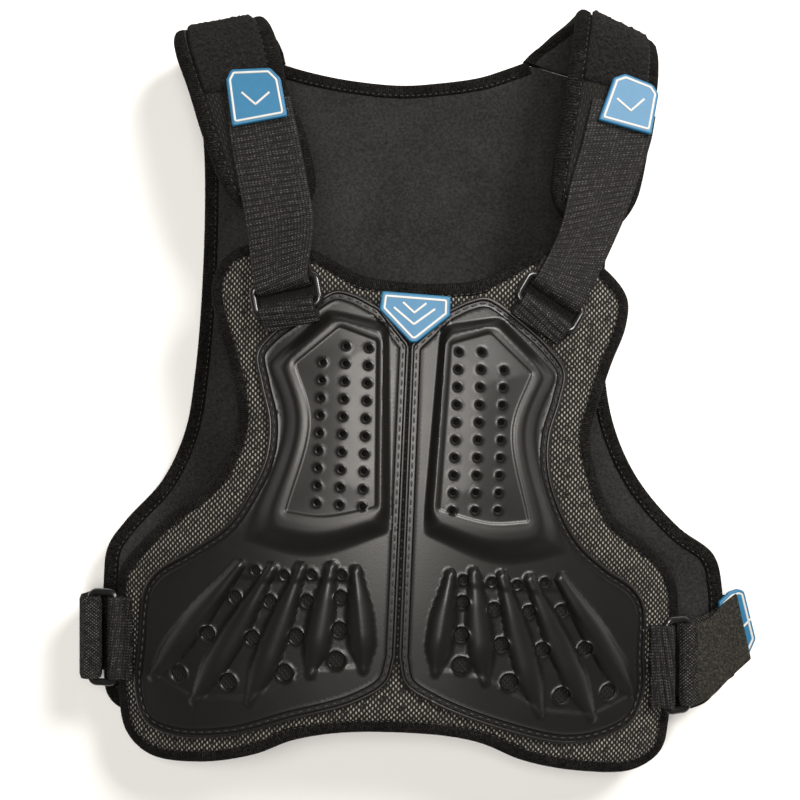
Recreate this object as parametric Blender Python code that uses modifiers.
"""Mountain bike body protector, lying on its back with the chest side up.

The vest has two padded panels.  The back panel lies on the floor and its side wings rise a little.
The front panel is a dome over it, with two plates, a badge and two shoulder tongues on top.
Padded shoulder pieces fold over from the back panel and meet the tongues through straps and rings.

Units in the tables are millimetres.  +X is to the right of the picture, +Y is toward the neck,
+Z is up.  The front panel has its own frame (u, v), turned a few degrees about Z.
"""

import math

import bpy
from mathutils import Matrix, Vector
from mathutils.geometry import delaunay_2d_cdt

MM = 0.001
GAP = 0.3
SEAM_GAP = 1.2

# Walls, in millimetres
FOAM = 8.0
BINDING_WIDTH = 8.5
BINDING_PROUD = 0.8
BINDING_THICKNESS = 8.2
BINDING_STEP = 60.0
PLATE_WALL = 2.5
WEBBING = 1.8
PATCH_WALL = 1.5
PATCH_SEAT = 1.2
TAB_WALL = 3.0
BADGE_WALL = 6.0

# Chest dome, in millimetres
CHEST_TOP = 100.0
CHEST_RADIUS = 300.0
CHEST_LENGTH_RADIUS = 1500.0
CHEST_CREST_V = -30.0
FRONT_TURN = math.radians(-2.4)
FRONT_SHIFT_X = -4.0

# Back panel, in millimetres
BACK_FLAT_HALF = 85.0
WING_RISE = 0.0020

# Chest plates, in millimetres
PLATE_SEAT = 0.7
PEC_RISE = 7.0
RIB_RISE = 4.0
RIB_TIP_HALF = 1.8
RIB_END_HALF = 6.0
PEC_HOLE_RADIUS = 1.6
PEC_HOLE_PITCH = 9.8
RIGHT_SHIFT = 4.4
RIGHT_STRETCH = 0.945
EDGE_MARGIN = 5.0

# Rings, in millimetres
BAR_RADIUS = 2.2
SHOULDER_WRAP = 5.2
KEEPER_WRAP = 4.5
SIDE_WRAP_LEFT = 5.4
SIDE_WRAP_RIGHT = 4.2
SIDE_HOLDER_WRAP = 3.9
RING_CORNER = 4.0
SHOULDER_RING = (38.0, 17.0)
SIDE_RING = (54.0, 16.0)
SHOULDER_WEBBING_WIDTH = 35.0
SIDE_WEBBING_WIDTH = 49.0

# Mesh steps, in millimetres
PANEL_GRID = 17.0
PLATE_GRID = 15.0
BACK_GRID = 24.0
EDGE_STEP = 11.0
SLIVER_AREA = 0.1

# Front panel edge: row, left u, left v, right u, right v
FRONT_EDGE = (
    ("neck dip", -4, 66.5, 12, 66.5),
    ("neck rise", -30, 70, 38, 70),
    ("neck shoulder", -44, 77, 52, 78),
    ("tongue inner", -58, 83.5, 68, 87.5),
    ("tongue top", -84, 88, 94, 90),
    ("tongue outer", -109, 80.5, 113.5, 80),
    ("tongue tip", -117, 62, 126.5, 65),
    ("tongue side", -114, 44, 126, 48),
    ("armhole top", -104.5, 17.5, 117.5, 25),
    ("armhole upper", -99, -2, 109.5, -2),
    ("armhole waist", -98, -21, 106.5, -17),
    ("armhole lower", -105.5, -42, 113, -42),
    ("armhole foot", -118, -57.5, 124, -63),
    ("flare inner", -136, -71, 141, -75.5),
    ("flare outer", -156, -92, 157.5, -89),
    ("side top", -169.5, -110, 166, -103),
    ("side upper", -170.5, -128, 169, -122),
    ("side lower", -168, -185, 167, -185),
    ("corner side", -162, -208, 163, -205.5),
    ("corner hem", -146, -219, 146, -215.5),
    ("hem outer", -113, -218, 110, -213.5),
    ("hem middle", -80, -209, 75, -205.5),
    ("hem inner", -57, -198, 50, -195),
    ("hem centre", -25, -191, 25, -190.5),
)

# Back panel edge: row, left x, left y, right x, right y
BACK_EDGE = (
    ("neck dip", -8, 199, 17, 200.5),
    ("neck middle", -42, 202.5, 42, 204),
    ("neck outer", -66, 207.5, 58, 209),
    ("neck corner", -80, 211.5, 68, 212.5),
    ("shoulder corner", -135, 193, 135, 192),
    ("armhole top", -131.5, 150, 131, 150),
    ("armhole upper", -132.5, 80, 121, 85),
    ("armhole middle", -137.5, 15, 120.5, 20),
    ("armhole lower", -143.5, -20, 127, -18),
    ("armhole foot", -157, -50, 141, -49.5),
    ("wing inner", -178, -74, 165, -79),
    ("wing shoulder", -188.5, -90, 185, -95),
    ("wing top", -191, -112, 190, -115),
    ("wing side", -191, -160, 189, -165),
    ("wing foot", -188.5, -182, 185, -182),
    ("hem corner", -178, -192, 174, -191),
    ("hem outer", -120, -195, 120, -195),
    ("hem inner", -40, -196, 40, -196),
)

# Plate edges, from the centre top round the outside to the centre foot: row, u, v, sharp
PLATE_LEFT_EDGE = (
    ("centre top", -0.4, 31, True),
    ("badge side", -18, 51.5, True),
    ("collar", -33, 58.5, False),
    ("peak", -44, 60, False),
    ("shoulder", -63, 47, False),
    ("armpit top", -79.5, 34.5, False),
    ("armpit", -87.5, 23, False),
    ("flank", -84, 5, False),
    ("waist upper", -78.5, -16, False),
    ("waist lower", -80, -37, False),
    ("hip upper", -89, -57.5, False),
    ("hip lower", -101, -76, False),
    ("flare", -122, -92, False),
    ("flare end", -144, -107, False),
    ("side top", -151.5, -119, False),
    ("side middle", -154.5, -150, False),
    ("side lower", -155.5, -180, False),
    ("corner", -148, -197.5, False),
    ("hem outer", -131, -203, False),
    ("hem middle", -95, -198.5, False),
    ("hem inner", -60, -185.5, False),
    ("hem end", -22, -172, False),
    ("centre corner", -5, -160, False),
    ("centre foot", -0.8, -145, True),
)
PLATE_RIGHT_EDGE = (
    ("centre top", 0.4, 31, True),
    ("badge side", 20, 51, True),
    ("collar", 32.5, 57.5, False),
    ("peak", 43, 59.5, False),
    ("shoulder", 64, 46.5, False),
    ("armpit top", 80.5, 32.5, False),
    ("armpit", 89.5, 20, False),
    ("flank", 87.5, 3.5, False),
    ("waist upper", 82.2, -17, False),
    ("waist lower", 82.6, -36, False),
    ("hip upper", 89.5, -57, False),
    ("hip lower", 101.5, -77, False),
    ("flare", 118, -91.5, False),
    ("flare end", 137, -104, False),
    ("side top", 144.5, -115, False),
    ("side middle", 146.5, -145, False),
    ("side lower", 147.5, -166, False),
    ("corner", 141, -183.5, False),
    ("hem outer", 125, -192, False),
    ("hem middle", 100, -195, False),
    ("hem inner", 62, -186, False),
    ("hem end", 22, -171, False),
    ("centre corner", 5, -160, False),
    ("centre foot", 0.8, -145, True),
)

# Raised field of a plate, distance from the seam and v: row, base u, base v, top u, top v
PEC_FIELD = (
    ("apex", 80.5, 17.5, 65.5, 18),
    ("upper outer", 47, 49.5, 40, 40.5),
    ("upper inner", 12, 43, 17.5, 33),
    ("centre foot", 6.5, -75, 14.5, -60.5),
    ("lower middle", 49.5, -91, 44.5, -67.5),
    ("lower outer", 92, -84.5, 67, -66),
    ("waist", 69.5, -16, 55.5, -14),
)

# Columns of small holes: distance from the seam, first v, number of holes
PEC_HOLE_COLUMNS = (
    ("outer", 48.4, 19.0, 9),
    ("middle", 35.5, 28.5, 10),
    ("inner", 22.8, 28.0, 10),
)

# Ribs from tip to end: row, tip u, tip v, end u, end v
RIBS = (
    ("outer", 92, -98, 144.5, -170),
    ("second", 73, -98.5, 117.5, -181),
    ("third", 56, -97, 83.5, -177),
    ("fourth", 39, -95.5, 48.5, -158),
    ("inner", 25, -97, 18.5, -153),
)

# Vents in four rows, growing toward the hem: row, radius, then u, v of four holes
VENT_ROWS = (
    ("top", 2.3, (33, -99.5), (50, -100.5), (65.5, -102), (82.5, -100.5)),
    ("upper", 3.4, (33, -112.5), (52, -116), (73.5, -117.5), (94, -117)),
    ("lower", 4.0, (33, -131), (57.5, -136.5), (83, -139.5), (110, -139.5)),
    ("hem", 4.6, (34, -148.5), (63.5, -158), (96.5, -166.5), (127, -165.5)),
)

# Badge outline: u, v, and the v of its own origin
BADGE_MIDDLE = 45.0
BADGE_EDGE = ((-17, 60), (21.5, 58.5), (21.5, 47.5), (3.5, 32), (0, 32), (-18, 49.5))

# Shoulder pads, outer face from the back seam over the fold to the chest:
# row, left edge x, y, z, right edge x, y, z
PAD_LEFT = (
    ("back seam", -137, 194.3, 5.8, -81, 212.7, 0.9),
    ("back rise", -140, 205, 6.8, -83, 221, 1.6),
    ("fold low", -142.5, 214.5, 13, -85.5, 227.5, 8.5),
    ("fold back", -144, 219.5, 26, -88, 230, 22),
    ("fold", -144.5, 221, 44, -90, 230.5, 42),
    ("fold high", -143.5, 214.5, 58, -86, 225, 61),
    ("top", -140.5, 203, 66, -80, 209, 72),
    ("yoke", -132, 180, 73, -74, 183, 78),
    ("chest", -124, 155, 77, -64, 157, 81),
    ("chest low", -113, 126, 79, -57.5, 130, 82),
    ("end", -101, 104, 79.5, -57, 106, 82),
)
PAD_RIGHT = (
    ("back seam", 69.5, 213.6, 0.9, 137, 193.3, 5.8),
    ("back rise", 79.5, 223.5, 1.6, 140, 202, 6.8),
    ("fold low", 88, 231, 8.5, 142, 208.5, 13),
    ("fold back", 95.5, 235, 22, 144, 212.5, 27),
    ("fold", 99, 235.5, 42, 144.5, 214, 45),
    ("fold high", 97, 230.5, 60, 145, 206.5, 60),
    ("top", 93.5, 212, 71, 144, 193, 68.5),
    ("yoke", 90, 190, 76.5, 142, 178, 72),
    ("chest", 84, 157, 80, 138.5, 158, 75),
    ("chest low", 79, 125, 82, 132, 124, 77),
    ("end", 79, 104, 82, 123, 95, 77.5),
)

# A pad's own frame: across by along, in nominal millimetres
PAD_SPAN = 58.0
PAD_ROW = 20.0
PAD_END_RADIUS = 18.0
PAD_BINDING_STEP = 80.0
PAD_BINDING_EXTRA = 0.8

# Loop patches in a pad's own frame: first and last row, left and right side
PATCH_LEFT = (50.0, 142.0, 9.5, 49.5)
PATCH_RIGHT = (88.0, 142.0, 9.5, 49.5)

# Shoulder straps, middle of the webbing, from the pad down to the ring:
# row, left edge x, y, z, right edge x, y, z
STRAP_LEFT = (
    ("hook end", -108.5, 172, 79.5, -71.5, 174.5, 82.5),
    ("pad", -106, 150, 81.5, -66.5, 151.5, 84.3),
    ("pad low", -101.5, 126, 82.1, -61.5, 126, 84.5),
    ("bridge", -96.5, 100, 86, -57.5, 102, 90),
)
STRAP_RIGHT = (
    ("hook end", 102.5, 174, 79.8, 139.5, 164, 76.6),
    ("pad", 97, 150, 82.4, 136.5, 149, 77.9),
    ("pad low", 90, 126, 83.6, 128.5, 126, 79.9),
    ("bridge", 82.5, 97, 91, 119.5, 103, 86),
)

# Rings on the tongues: u, v, turn in degrees, lift, and the lift of the holder's low layer
SHOULDER_RING_LEFT = (-71.0, 56.0, 14.0, 8.6, 4.8)
SHOULDER_RING_RIGHT = (78.5, 58.5, -30.0, 7.6, 4.8)
HOLDER_REACH = 9.0
HOLDER_LAYER = 2.1
STRAP_TAIL = 14.0
SHOULDER_STRAP_TURN = (100, 260)
SHOULDER_HOLDER_TURN = (80, -80)
SHOULDER_WRAP_NARROWER = 1.5

# Side rings: centre x, y, z, then the slope in degrees toward the outside
SIDE_RING_LEFT = (-186.3, -142.0, 49.3, 14.0)
SIDE_RING_RIGHT = (157.0, -158.0, 53.3, 29.0)

# Side straps, middle of the webbing, from the free end to the ring bar:
# row, lower edge x, y, z, upper edge x, y, z
SIDE_LEFT_RUN = (
    ("free end", -184, -168, 13.6, -184, -119, 13.6),
    ("outer bend", -198.6, -167.5, 20, -198.6, -118.5, 20),
    ("outer rise", -200.6, -167, 31, -200.6, -118, 31),
    ("beside bar", -201.0, -166.5, 41, -201.0, -117.5, 41),
)
SIDE_RIGHT_RUN = (
    ("free end", 204, -157, 40.2, 194.5, -117, 43),
    ("tail", 190.5, -167.5, 44.3, 186.5, -122.5, 45.4),
    ("step", 178, -178, 48.5, 177, -131, 48.8),
)

# And from the bar round the wing to the back panel's outer face: row, x, z, lower y, upper y
SIDE_LEFT_RETURN = (
    ("inner rise", -197.9, 31, -167, -118),
    ("inner bend", -196.2, 21.8, -167.5, -118.5),
    ("under wing", -184, 16.3, -168, -119),
    ("back end", -165, 10.2, -168.5, -119.5),
)
SIDE_RIGHT_RETURN = (
    ("over wing", 175, 40.5, -179, -131),
    ("wing top", 187, 36, -173, -125),
    ("wing side", 196.2, 30, -169, -121),
    ("wing foot", 195, 20, -169, -121),
    ("under wing", 183, 15.8, -170, -122),
    ("back end", 164, 9.8, -170, -122),
)

# Turns round the side ring bars in degrees
STRAP_TURN_LEFT = (40, 262)
STRAP_TURN_RIGHT = (125, -82)
HOLDER_TURN_LEFT = (110, -110)
HOLDER_TURN_RIGHT = (70, 290)

# Side holders, from the inner bar up onto the chest: row, x, z of the top layer, z of the low layer
HOLDER_LEFT = (
    ("binding", -173.5, 54.8, 52.2),
    ("panel", -168, 57.6, 55.0),
)
HOLDER_RIGHT = (
    ("binding", 145, 59.0, 56.4),
    ("panel", 139.5, 61.2, 58.6),
)

# Pull tabs: outline about the middle, then the middle and the two slopes in degrees
TAB_LEFT_EDGE = ((-14.5, 17), (8, 17.5), (14, 11.5), (18.5, -11), (-13.5, -16.5), (-17.5, 11))
TAB_LEFT_PLACE = (-91.0, 173.0, 84.2, -5.0, -4.5)
TAB_RIGHT_EDGE = ((-9.5, 15.5), (-2.5, 18), (13.5, 12), (17, 6.5), (12, -17.5), (-19, -9.5))
TAB_RIGHT_PLACE = (124.0, 170.0, 81.0, -5.0, 6.0)
TAB_SIDE_EDGE = ((-13, 14), (-6, 20), (0, 21.5), (4, 20), (12, -9.5), (7, -19), (-9, -22))
TAB_SIDE_PLACE = (196.5, -136.0, 39.3, 0.0, 16.0)


def material(name, colour, roughness, metallic=0.0):
    """A plain Principled material."""
    made = bpy.data.materials.new(name)
    made.use_nodes = True
    shader = made.node_tree.nodes["Principled BSDF"]
    shader.inputs["Base Color"].default_value = (*colour, 1.0)
    shader.inputs["Roughness"].default_value = roughness
    shader.inputs["Metallic"].default_value = metallic
    made.diffuse_color = (*colour, 1.0)
    return made


def chest_height(u, v):
    """Height of the front panel's outer face: an arch across, and a slight fall to both ends."""
    arch = math.sqrt(max(CHEST_RADIUS**2 - u * u, 1.0)) - CHEST_RADIUS
    fall = (v - CHEST_CREST_V) ** 2 / (2 * CHEST_LENGTH_RADIUS)
    return CHEST_TOP + arch - fall


def back_height(x):
    """Height of the back panel's inner face: flat in the middle, and rising wings."""
    return FOAM + WING_RISE * max(abs(x) - BACK_FLAT_HALF, 0.0) ** 2


def on_chest(lift):
    """A placing function for sheets that follow the chest dome."""
    return lambda u, v: Vector((u, v, chest_height(u, v) + lift)) * MM


def on_back(lift):
    """A placing function for sheets that follow the back panel."""
    return lambda x, y: Vector((x, y, back_height(x) + lift)) * MM


def curve_point(p0, p1, p2, p3, t):
    """A point between p1 and p2 on a centripetal curve through four points."""
    k1 = max((p1 - p0).length, 1e-6) ** 0.5
    k2 = max((p2 - p1).length, 1e-6) ** 0.5
    k3 = max((p3 - p2).length, 1e-6) ** 0.5
    t1, t2, t3 = k1, k1 + k2, k1 + k2 + k3
    x = t1 + k2 * t
    a1 = p0 * ((t1 - x) / t1) + p1 * (x / t1)
    a2 = p1 * ((t2 - x) / k2) + p2 * ((x - t1) / k2)
    a3 = p2 * ((t3 - x) / k3) + p3 * ((x - t2) / k3)
    b1 = a1 * ((t2 - x) / t2) + a2 * (x / t2)
    b2 = a2 * ((t3 - x) / (t3 - t1)) + a3 * ((x - t1) / (t3 - t1))
    return b1 * ((t2 - x) / k2) + b2 * ((x - t1) / k2)


def smooth_loop(points, sharp, step):
    """A closed outline through the points, straight into and out of the sharp ones."""
    count = len(points)
    loop = []
    for i, start in enumerate(points):
        end = points[(i + 1) % count]
        before = 2 * start - end if sharp[i] else points[i - 1]
        after = 2 * end - start if sharp[(i + 1) % count] else points[(i + 2) % count]
        pieces = max(1, round((end - start).length / step))
        loop += [curve_point(before, start, end, after, k / pieces) for k in range(pieces)]
    return loop


def two_sided_loop(rows, sharp_names, step):
    """A closed outline from a table with a left and a right point in each row."""
    left = [(Vector(row[1:3]), row[0] in sharp_names) for row in rows]
    right = [(Vector(row[3:5]), row[0] in sharp_names) for row in reversed(rows)]
    points = left + right
    return smooth_loop([p for p, _ in points], [s for _, s in points], step)


def signed_area(loop):
    """Twice the area of a loop, positive where it runs anticlockwise."""
    return sum(a.x * b.y - b.x * a.y for a, b in zip(loop, loop[1:] + loop[:1]))


def edge_distance(point, loop):
    """The distance from a point to the nearest edge of a loop."""
    best = 1e9
    for a, b in zip(loop, loop[1:] + loop[:1]):
        along = b - a
        t = max(0.0, min(1.0, (point - a).dot(along) / max(along.length_squared, 1e-9)))
        best = min(best, (point - a - along * t).length)
    return best


def inside(point, loop):
    """True where a point lies inside a loop."""
    hit = False
    for a, b in zip(loop, loop[1:] + loop[:1]):
        if (a.y > point.y) != (b.y > point.y):
            cross = a.x + (point.y - a.y) * (b.x - a.x) / (b.y - a.y)
            hit = hit != (point.x < cross)
    return hit


def inset(loop, depth):
    """A loop moved inward by a depth, without the points that would fold over."""
    turn = 1.0 if signed_area(loop) > 0 else -1.0
    moved = []
    for i, point in enumerate(loop):
        along = loop[(i + 1) % len(loop)] - loop[i - 1]
        inward = Vector((-along.y, along.x)).normalized() * turn
        new = point + inward * depth
        if edge_distance(new, loop) > 0.93 * depth:
            moved.append(new)
    return moved


def grid_points(loop, holes, step):
    """Points of a triangular grid inside the loop, clear of the edges."""
    xs = [p.x for p in loop]
    ys = [p.y for p in loop]
    row_step = step * math.sqrt(3) / 2
    points = []
    for j in range(int((max(ys) - min(ys)) / row_step) + 2):
        for i in range(int((max(xs) - min(xs)) / step) + 2):
            point = Vector((min(xs) + (i + 0.5 * (j % 2)) * step, min(ys) + j * row_step))
            if not inside(point, loop) or edge_distance(point, loop) < 0.5 * step:
                continue
            if any(inside(point, h) or edge_distance(point, h) < 0.45 * step for h in holes):
                continue
            points.append(point)
    return points


def link(obj, parent, mat):
    """Put an object in the protector's collection."""
    obj.data.materials.append(mat)
    bpy.data.collections["body_protector"].objects.link(obj)
    obj.parent = parent
    return obj


def sheet(name, loop, place, wall, mat, parent, holes=(), creases=(), extra=(),
          step=PANEL_GRID, offset=-1.0):
    """A wall that follows a surface, from its outline, its holes and its crease loops."""
    rings = [loop, *holes, *creases]
    blocked = [*holes, *creases]
    points = [p for ring in rings for p in ring]
    edges = []
    start = 0
    for ring in rings:
        edges += [(start + i, start + (i + 1) % len(ring)) for i in range(len(ring))]
        start += len(ring)
    points += list(extra)
    for point in grid_points(loop, blocked, step):
        if all((point - other).length > 0.45 * step for other in extra):
            points.append(point)
    for crease in creases:
        points += [p for p in grid_points(crease, holes, step)
                   if all((p - q).length > 0.4 * step for q in points)]
    flat, _, faces, _, _, _ = delaunay_2d_cdt(points, edges, [], 0, 0.01)
    kept = []
    for face in faces:
        corners = [flat[i] for i in face]
        centre = sum(corners, Vector((0, 0))) / len(corners)
        if signed_area(corners) < SLIVER_AREA or not inside(centre, loop):
            continue
        if not any(inside(centre, hole) for hole in holes):
            kept.append(face)
    vertices = [place(p.x, p.y) for p in flat]
    return wall_object(name, vertices, kept, wall, mat, parent, offset)


def wall_object(name, vertices, faces, wall, mat, parent, offset=-1.0):
    """An open surface made solid with an even wall."""
    used = sorted({i for face in faces for i in face})
    index = {old: new for new, old in enumerate(used)}
    data = bpy.data.meshes.new(name)
    data.from_pydata([vertices[i] for i in used], [], [[index[i] for i in f] for f in faces])
    data.validate()
    obj = link(bpy.data.objects.new(name, data), parent, mat)
    solid = obj.modifiers.new("wall", "SOLIDIFY")
    solid.thickness = wall * MM
    solid.offset = offset
    solid.use_even_offset = False
    return obj


def binding(name, loop, place, mat, parent):
    """The elastic edging round a panel."""
    inner = inset(loop, BINDING_WIDTH)
    return sheet(name, loop, place, BINDING_THICKNESS, mat, parent, holes=[inner],
                 step=BINDING_STEP)


def circle(u, v, radius, sides=6):
    """A small round hole as a loop."""
    angles = [2 * math.pi * k / sides for k in range(sides)]
    return [Vector((u + radius * math.cos(a), v + radius * math.sin(a))) for a in angles]


def plate_side(side, distance, stretched):
    """The u of a point at a distance from the seam, on the left (-1) or right (1) plate."""
    if side < 0:
        return -distance
    return RIGHT_SHIFT + distance * (RIGHT_STRETCH if stretched else 1.0)


def rib_lines(side):
    """The ribs of one plate as pairs of points."""
    lines = []
    for _, tip_u, tip_v, end_u, end_v in RIBS:
        tip = Vector((plate_side(side, tip_u, True), tip_v))
        end = Vector((plate_side(side, end_u, True), end_v))
        lines.append((tip, end))
    return lines


def rib_half_width(t):
    """Half the width of a rib at a fraction of its length."""
    return RIB_TIP_HALF + (RIB_END_HALF - RIB_TIP_HALF) * t


def rib_rise(point, lines):
    """The height that the ribs add at a point."""
    rise = 0.0
    for tip, end in lines:
        along = end - tip
        t = max(0.0, min(1.0, (point - tip).dot(along) / along.length_squared))
        away = (point - tip - along * t).length
        rise = max(rise, RIB_RISE * (1.0 - away / rib_half_width(t)))
    return rise


def rib_points(lines, loop):
    """Points along the ridge and the two feet of each rib, clear of the plate's edge."""
    points = []
    for tip, end in lines:
        along = end - tip
        across = Vector((-along.y, along.x)).normalized()
        pieces = round(along.length / PLATE_GRID)
        for k in range(pieces + 1):
            ridge = tip + along * (k / pieces)
            foot = across * rib_half_width(k / pieces)
            points += [ridge, ridge + foot, ridge - foot]
    return [p for p in points if inside(p, loop) and edge_distance(p, loop) > EDGE_MARGIN]


def plate_holes(side):
    """The small holes of the raised field and the vents between the ribs."""
    holes = []
    for _, distance, first_v, count in PEC_HOLE_COLUMNS:
        u = plate_side(side, distance, False)
        holes += [circle(u, first_v - PEC_HOLE_PITCH * k, PEC_HOLE_RADIUS) for k in range(count)]
    for _, radius, *centres in VENT_ROWS:
        holes += [circle(plate_side(side, u, True), v, radius) for u, v in centres]
    return holes


def chest_plate(name, side, rows, mat, parent):
    """One stitched plate with its raised field, ribs, holes and vents."""
    loop = smooth_loop([Vector(row[1:3]) for row in rows], [row[3] for row in rows], EDGE_STEP)
    base = [Vector((plate_side(side, row[1], False), row[2])) for row in PEC_FIELD]
    top = [Vector((plate_side(side, row[3], False), row[4])) for row in PEC_FIELD]
    base = smooth_loop(base, [True] * len(base), PLATE_GRID)
    top = smooth_loop(top, [True] * len(top), PLATE_GRID)
    lines = rib_lines(side)
    lift = PLATE_SEAT + PLATE_WALL

    def place(u, v):
        point = Vector((u, v))
        rise = rib_rise(point, lines)
        if inside(point, top) or edge_distance(point, top) < 0.05:
            rise = PEC_RISE
        return Vector((u, v, chest_height(u, v) + lift + rise)) * MM

    extra = rib_points(lines, loop)
    return sheet(name, loop, place, PLATE_WALL, mat, parent, plate_holes(side), [base, top],
                 extra, PLATE_GRID)


def loft(rows):
    """A surface through rows of a left and a right point: across 0 to 1, along 0 to the last row."""
    left = [Vector(row[0]) for row in rows]
    right = [Vector(row[1]) for row in rows]
    last = len(rows) - 1

    def edge(points, along):
        i = min(int(along), last - 1)
        before = points[i - 1] if i > 0 else 2 * points[0] - points[1]
        after = points[i + 2] if i + 2 <= last else 2 * points[last] - points[last - 1]
        return curve_point(before, points[i], points[i + 1], after, along - i)

    return lambda across, along: edge(left, along).lerp(edge(right, along), across) * MM


def table_rows(table):
    """Rows of a left and a right point from a table with six numbers a row."""
    return [(row[1:4], row[4:7]) for row in table]


def lifted(surface, lift, last):
    """A loft moved along its outward normal."""
    def place(across, along):
        here = surface(across, along)
        low = max(along - 0.02, 0.0)
        high = min(along + 0.02, last - 1e-4)
        forward = surface(across, high) - surface(across, low)
        sideways = surface(1.0, along) - surface(0.0, along)
        return here + forward.cross(sideways).normalized() * lift * MM
    return place


def ribbon(name, rows, sections, columns, wall, mat, parent=None, offset=0.0):
    """A strip of webbing along rows of a left and a right point."""
    surface = loft(rows)
    last = len(rows) - 1
    vertices = []
    for j in range(sections + 1):
        along = min(last * j / sections, last - 1e-6)
        vertices += [surface(i / columns, along) for i in range(columns + 1)]
    faces = []
    for j in range(sections):
        for i in range(columns):
            a = j * (columns + 1) + i
            faces.append((a, a + columns + 1, a + columns + 2, a + 1))
    return wall_object(name, vertices, faces, wall, mat, parent, offset)


def pad_place(table, lift):
    """A placing function for a shoulder pad: nominal millimetres across and along."""
    surface = lifted(loft(table_rows(table)), lift, len(table) - 1)
    last = len(table) - 1
    return lambda u, v: surface(u / PAD_SPAN, min(v / PAD_ROW, last - 1e-4))


def pad_edge(table, margin):
    """A pad's long edges and rounded end, as an open line with a margin."""
    length = PAD_ROW * (len(table) - 1)
    radius = PAD_END_RADIUS
    points = [Vector((margin, PAD_ROW * k)) for k in range(len(table) - 1)]
    corners = ((radius, math.pi), (PAD_SPAN - radius, math.pi / 2))
    for centre_u, start in corners:
        centre = Vector((centre_u, length - radius))
        for k in range(4):
            angle = start - math.pi / 2 * k / 3
            points.append(centre + Vector((math.cos(angle), math.sin(angle))) * (radius - margin))
    points += [Vector((PAD_SPAN - margin, PAD_ROW * k)) for k in reversed(range(len(table) - 1))]
    return points


def shoulder_pad(side, table, mesh, edging):
    """A padded shoulder piece and its elastic edging."""
    outer = pad_edge(table, 0.0)
    inner = pad_edge(table, BINDING_WIDTH)
    core = pad_edge(table, BINDING_WIDTH + SEAM_GAP)
    band = outer + list(reversed(inner))
    sheet("shoulder_pad_" + side, core, pad_place(table, 0.0), FOAM, mesh, None,
          offset=1.0)
    sheet("pad_binding_" + side, band, pad_place(table, BINDING_PROUD),
          BINDING_THICKNESS + PAD_BINDING_EXTRA, edging, None, step=PAD_BINDING_STEP, offset=1.0)


def loop_patch(side, table, span, mat):
    """The fuzzy patch on a shoulder pad."""
    first, last, left, right = span
    place = pad_place(table, PATCH_WALL + PATCH_SEAT)
    corners = [Vector((left, first)), Vector((right, first)), Vector((right, last)),
               Vector((left, last))]
    loop = smooth_loop(corners, [True] * 4, 12.0)
    sheet("loop_patch_" + side, loop, place, PATCH_WALL, mat, None, step=18.0, offset=1.0)


def chest_seat(u, v, lift, turn):
    """The frame of a piece that lies on the chest dome, in metres."""
    origin = on_chest(lift)(u, v)
    du = on_chest(lift)(u + 1, v) - on_chest(lift)(u - 1, v)
    dv = on_chest(lift)(u, v + 1) - on_chest(lift)(u, v - 1)
    normal = du.cross(dv).normalized()
    x_axis = du.normalized()
    y_axis = normal.cross(x_axis)
    frame = Matrix((x_axis, y_axis, normal)).transposed().to_4x4()
    return Matrix.Translation(origin) @ frame @ Matrix.Rotation(math.radians(turn), 4, "Z")


def ring(name, size, frame, mat):
    """A rectangular plastic loop with round corners, lying flat in its frame."""
    width, height = size
    corner = RING_CORNER
    curve = bpy.data.curves.new(name, "CURVE")
    curve.dimensions = "3D"
    curve.bevel_depth = BAR_RADIUS * MM
    curve.bevel_resolution = 1
    points = []
    for sx, sy, start in ((1, 1, 0), (-1, 1, 90), (-1, -1, 180), (1, -1, 270)):
        for k in range(4):
            angle = math.radians(start + 30 * k)
            x = sx * (width / 2 - corner) + corner * math.cos(angle)
            y = sy * (height / 2 - corner) + corner * math.sin(angle)
            points.append((x * MM, y * MM, 0.0))
    line = curve.splines.new("POLY")
    line.points.add(len(points) - 1)
    for spot, point in zip(line.points, points):
        spot.co = (*point, 1.0)
    line.use_cyclic_u = True
    obj = link(bpy.data.objects.new(name, curve), None, mat)
    obj.matrix_world = frame
    return obj


def flat_piece(name, outline, wall, frame, mat):
    """A flat piece with an even wall, on its own plane."""
    curve = bpy.data.curves.new(name, "CURVE")
    curve.dimensions = "2D"
    curve.fill_mode = "BOTH"
    curve.extrude = wall / 2 * MM
    line = curve.splines.new("POLY")
    line.points.add(len(outline) - 1)
    for spot, (x, y) in zip(line.points, outline):
        spot.co = (x * MM, y * MM, 0.0, 1.0)
    line.use_cyclic_u = True
    obj = link(bpy.data.objects.new(name, curve), None, mat)
    obj.matrix_world = frame
    return obj


def flat_row(frame, half_width, y, z):
    """One row of webbing in a ring's frame, in world millimetres."""
    left = frame @ (Vector((-half_width, y, z)) * MM) / MM
    right = frame @ (Vector((half_width, y, z)) * MM) / MM
    return left, right


def bar_wrap(frame, bar_y, half_width, radius, turn, steps=5):
    """Rows of webbing round a ring bar, over a turn from one angle to another in degrees."""
    start, end = turn
    rows = []
    for k in range(steps + 1):
        angle = math.radians(start + (end - start) * k / steps)
        y = bar_y + radius * math.cos(angle)
        rows.append(flat_row(frame, half_width, y, radius * math.sin(angle)))
    return rows


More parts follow.
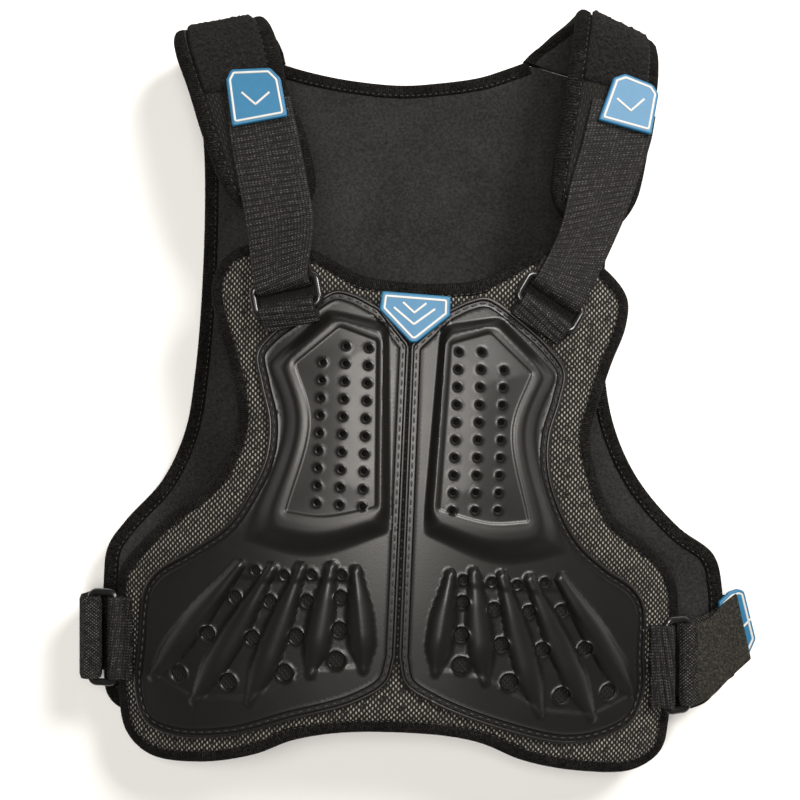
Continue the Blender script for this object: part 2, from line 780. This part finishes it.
def shoulder_side(side, table, place, front, mats):
    """The ring, its holder and the strap on one shoulder tongue."""
    u, v, turn, lift, low = place
    frame = front @ chest_seat(u, v, lift, turn)
    ring("shoulder_ring_" + side, SHOULDER_RING, frame, mats["plastic"])
    half = SHOULDER_WEBBING_WIDTH / 2 - SHOULDER_WRAP_NARROWER
    bar = SHOULDER_RING[1] / 2
    rows = table_rows(table) + bar_wrap(frame, bar, half, SHOULDER_WRAP, SHOULDER_STRAP_TURN)
    rows.append(flat_row(frame, half, bar + STRAP_TAIL, -SHOULDER_WRAP))
    ribbon("shoulder_strap_" + side, rows, 26, 2, WEBBING, mats["webbing"])
    reach = bar + HOLDER_REACH
    rows = [flat_row(frame, half, -reach, low + HOLDER_LAYER - lift),
            *bar_wrap(frame, -bar, half, KEEPER_WRAP, SHOULDER_HOLDER_TURN),
            flat_row(frame, half, -reach, low - lift)]
    ribbon("shoulder_holder_" + side, rows, 12, 2, WEBBING, mats["webbing"])


def side_frame(place, outward):
    """The frame of a side ring: its x axis runs outward and down, its long side along Y."""
    x, y, z, slope = place
    tilt = Matrix.Rotation(math.radians(slope) * outward, 4, "Y")
    spin = Matrix.Rotation(math.radians(90), 4, "Z")
    return Matrix.Translation(Vector((x, y, z)) * MM) @ tilt @ spin


def side_rows(table):
    """Rows of a lower and an upper point from a side strap's table."""
    return [((x, lower, z), (x, upper, z)) for _, x, z, lower, upper in table]


def side_holder_rows(place, table, wrap):
    """The holder's top layer, its turn round the inner bar and its low layer."""
    half = SIDE_WEBBING_WIDTH / 2
    lower, upper = place[1] - half, place[1] + half
    top = [((x, lower, z), (x, upper, z)) for _, x, z, _ in reversed(table)]
    low = [((x, lower, z), (x, upper, z)) for _, x, _, z in table]
    return top + wrap + low


def side_set(side, outward, place, run, back, holder, mats):
    """The ring, its holder and the strap at one side of the chest."""
    frame = side_frame(place, outward)
    ring("side_ring_" + side, SIDE_RING, frame, mats["plastic"])
    half = SIDE_WEBBING_WIDTH / 2
    bar = SIDE_RING[1] / 2
    if outward < 0:
        strap_wrap = bar_wrap(frame, bar, half, SIDE_WRAP_LEFT, STRAP_TURN_LEFT)
        holder_wrap = bar_wrap(frame, -bar, half, SIDE_HOLDER_WRAP, HOLDER_TURN_LEFT)
    else:
        strap_wrap = bar_wrap(frame, -bar, half, SIDE_WRAP_RIGHT, STRAP_TURN_RIGHT)
        holder_wrap = bar_wrap(frame, bar, half, SIDE_HOLDER_WRAP, HOLDER_TURN_RIGHT)
    strap_rows = table_rows(run) + strap_wrap + side_rows(back)
    ribbon("side_strap_" + side, strap_rows, 36, 2, WEBBING, mats["webbing"])
    holder_rows = side_holder_rows(place, holder, holder_wrap)
    holder_rows = [(Vector(a), Vector(b)) for a, b in holder_rows]
    ribbon("side_holder_" + side, holder_rows, 18, 2, WEBBING, mats["webbing"])


def tab_frame(place):
    """The frame of a pull tab, sloped along and across."""
    x, y, z, along, across = place
    tilt = Matrix.Rotation(math.radians(across), 4, "Y")
    fall = Matrix.Rotation(math.radians(along), 4, "X")
    return Matrix.Translation(Vector((x, y, z)) * MM) @ tilt @ fall


def centre_on_origin(root, collection):
    """Move the root so that the middle of the protector's box stands on the origin."""
    bpy.context.view_layer.update()
    graph = bpy.context.evaluated_depsgraph_get()
    low = Vector((1e9, 1e9, 1e9))
    high = -low
    for obj in collection.objects:
        if obj.type == "EMPTY":
            continue
        shape = bpy.data.meshes.new_from_object(obj.evaluated_get(graph))
        for vertex in shape.vertices:
            spot = obj.matrix_world @ vertex.co
            low = Vector(map(min, low, spot))
            high = Vector(map(max, high, spot))
        bpy.data.meshes.remove(shape)
    root.location = (-(low.x + high.x) / 2, -(low.y + high.y) / 2, -low.z)


def main():
    """Build the whole protector."""
    for obj in list(bpy.data.objects):
        bpy.data.objects.remove(obj)
    collection = bpy.data.collections.new("body_protector")
    bpy.context.scene.collection.children.link(collection)
    mats = {
        "mesh": material("mesh_fabric", (0.10, 0.095, 0.085), 0.95),
        "knit": material("knit_fabric", (0.03, 0.03, 0.03), 0.95),
        "edging": material("elastic_edging", (0.025, 0.025, 0.023), 0.9),
        "plate": material("plate_black", (0.03, 0.029, 0.027), 0.45),
        "webbing": material("webbing_black", (0.02, 0.02, 0.02), 0.9),
        "fuzz": material("loop_fuzz", (0.015, 0.015, 0.015), 1.0),
        "plastic": material("ring_plastic", (0.012, 0.012, 0.012), 0.3),
        "blue": material("blue_rubber", (0.05, 0.28, 0.54), 0.5),
    }
    root = bpy.data.objects.new("protector_frame", None)
    front = bpy.data.objects.new("front_frame", None)
    for empty in (root, front):
        collection.objects.link(empty)
    front.parent = root
    front.location = (FRONT_SHIFT_X * MM, 0.0, 0.0)
    front.rotation_euler = (0.0, 0.0, FRONT_TURN)
    front_matrix = Matrix.Translation(front.location) @ Matrix.Rotation(FRONT_TURN, 4, "Z")

    edge = two_sided_loop(FRONT_EDGE, (), EDGE_STEP)
    core = inset(edge, BINDING_WIDTH + SEAM_GAP)
    sheet("front_panel", core, on_chest(0.0), FOAM, mats["mesh"], front)
    binding("front_binding", edge, on_chest(BINDING_PROUD), mats["edging"], front)
    chest_plate("plate_left", -1, PLATE_LEFT_EDGE, mats["plate"], front)
    chest_plate("plate_right", 1, PLATE_RIGHT_EDGE, mats["plate"], front)

    edge = two_sided_loop(BACK_EDGE, ("neck corner", "shoulder corner"), EDGE_STEP)
    core = inset(edge, BINDING_WIDTH + SEAM_GAP)
    sheet("back_panel", core, on_back(0.0), FOAM, mats["knit"], None, step=BACK_GRID)
    binding("back_binding", edge, on_back(BINDING_PROUD), mats["edging"], None)

    lift = PLATE_SEAT + PLATE_WALL + GAP + BADGE_WALL / 2
    badge_frame = front_matrix @ chest_seat(0.0, BADGE_MIDDLE, lift, 0.0)
    outline = [(u, v - BADGE_MIDDLE) for u, v in BADGE_EDGE]
    flat_piece("badge", outline, BADGE_WALL, badge_frame, mats["blue"])

    shoulder_pad("left", PAD_LEFT, mats["mesh"], mats["edging"])
    shoulder_pad("right", PAD_RIGHT, mats["mesh"], mats["edging"])
    loop_patch("left", PAD_LEFT, PATCH_LEFT, mats["fuzz"])
    loop_patch("right", PAD_RIGHT, PATCH_RIGHT, mats["fuzz"])
    shoulder_side("left", STRAP_LEFT, SHOULDER_RING_LEFT, front_matrix, mats)
    shoulder_side("right", STRAP_RIGHT, SHOULDER_RING_RIGHT, front_matrix, mats)

    side_set("left", -1, SIDE_RING_LEFT, SIDE_LEFT_RUN, SIDE_LEFT_RETURN, HOLDER_LEFT, mats)
    side_set("right", 1, SIDE_RING_RIGHT, SIDE_RIGHT_RUN, SIDE_RIGHT_RETURN, HOLDER_RIGHT, mats)
    tabs = (
        ("shoulder_tab_left", TAB_LEFT_EDGE, TAB_LEFT_PLACE),
        ("shoulder_tab_right", TAB_RIGHT_EDGE, TAB_RIGHT_PLACE),
        ("side_tab_right", TAB_SIDE_EDGE, TAB_SIDE_PLACE),
    )
    for name, outline, place in tabs:
        flat_piece(name, outline, TAB_WALL, tab_frame(place), mats["blue"])

    for obj in list(collection.objects):
        if obj.parent is None and obj is not root:
            obj.parent = root
    centre_on_origin(root, collection)


main()
